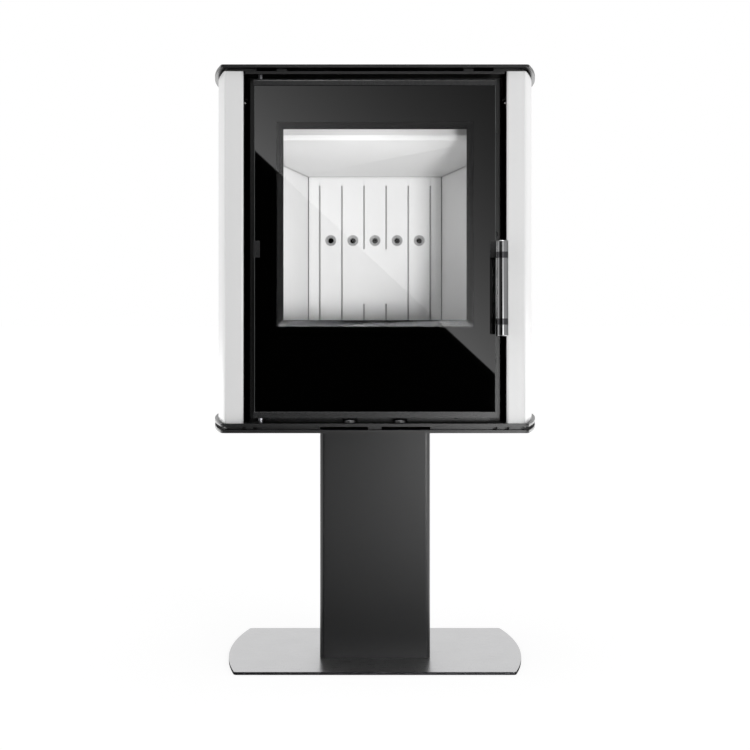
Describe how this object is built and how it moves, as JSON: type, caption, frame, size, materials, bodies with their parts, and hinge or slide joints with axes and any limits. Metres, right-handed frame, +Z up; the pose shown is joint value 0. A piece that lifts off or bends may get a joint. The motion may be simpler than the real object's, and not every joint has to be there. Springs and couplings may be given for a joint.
{
  "type": "wood burning stove",
  "caption": "Wood burning stove with a glass door, a bowed white casing and a lined firebox, standing on a pedestal column with a flat base plate.",
  "frame": {"origin": "centre of the base plate's underside, on the floor", "axes": "+X to the right seen from the front, +Y to the back, +Z up; the door faces -Y"},
  "size_m": [0.563, 0.468, 1.036],
  "materials": {
    "base_steel": "satin brushed stainless sheet",
    "black_steel": "heat-resistant black paint, fine satin",
    "grey_steel": "heat-resistant dark grey paint",
    "bright_steel": "zinc-plated or turned bright steel",
    "white_enamel": "white powder coat, satin",
    "vermiculite": "pressed vermiculite board, near white, matt",
    "cast_grate": "as-cast",
    "black_glass": "ceramic glass, black print round a clear window",
    "rope": "braided glass-fibre rope",
    "gasket": "flat glass-fibre tape",
    "polished_steel": "polished stainless tube",
    "bezel_steel": "heat-resistant grey paint, satin"
  },
  "bodies": {
    "root": {"base_plate": "base_steel", "foot_bolts": "bright_steel", "column_frames": "grey_steel", "column_shell": "black_steel", "column_rear_cover": "black_steel", "air_inlet_spigot": "black_steel", "head_bolts": "bright_steel", "casing_screws": "bright_steel", "bottom_plate": "black_steel", "bottom_spacer": "black_steel", "support_plate": "black_steel", "air_box": "grey_steel", "rear_air_duct": "grey_steel", "firebox_sides": "black_steel", "firebox_rear_wall": "black_steel", "firebox_floor_and_roof": "black_steel", "firebox_front_plate": "black_steel", "sealing_frame": "black_steel", "front_sill": "black_steel", "hearth_lining": "vermiculite", "side_linings": "vermiculite", "corner_linings": "vermiculite", "rear_lining": "vermiculite", "lower_baffle": "vermiculite", "upper_baffle": "grey_steel", "grate": "cast_grate", "ash_pan": "bright_steel", "flue_collar": "black_steel", "inner_top_plate": "black_steel", "top_spacers": "black_steel", "top_edge_strips": "black_steel", "top_plate": "black_steel", "left_side_panel": "white_enamel", "right_side_panel": "white_enamel", "rear_panel": "black_steel", "hinge_pins": "bright_steel", "latch_keepers": "bright_steel"},
    "door": {"door_frame": "black_steel", "window_bezel": "bezel_steel", "door_glass": "black_glass", "glass_gasket": "gasket", "top_rail": "grey_steel", "bottom_rail": "grey_steel", "rail_screws": "bright_steel", "glass_clips": "black_steel", "rope_seal": "rope", "hinge_plates": "grey_steel", "shaft_lugs": "grey_steel"},
    "latch": {"latch_shaft": "bright_steel", "latch_hooks": "bright_steel", "handle_arms": "black_steel", "handle_tube": "polished_steel", "handle_collars": "polished_steel", "handle_end_caps": "polished_steel"},
    "primary_air": {"primary_knob": "black_steel", "primary_rod": "bright_steel", "primary_shutter": "bright_steel"},
    "secondary_air": {"secondary_knob": "black_steel", "secondary_rod": "bright_steel", "secondary_shutter": "bright_steel"}
  },
  "joints": [
    {"name": "door_swing", "type": "hinge", "parent": "root", "child": "door", "pos_m": [-0.19, -0.181, 0.7], "axis": [0, 0, -1], "range_deg": [0, 100]},
    {"name": "latch_turn", "type": "hinge", "parent": "door", "child": "latch", "pos_m": [0.192, -0.179, 0.7], "axis": [0, 0, 1], "range_deg": [0, 20]},
    {"name": "primary_air_slide", "type": "slide", "parent": "root", "child": "primary_air", "axis": [0, -1, 0], "range_m": [0, 0.04]},
    {"name": "secondary_air_slide", "type": "slide", "parent": "root", "child": "secondary_air", "axis": [0, -1, 0], "range_m": [0, 0.04]}
  ]
}
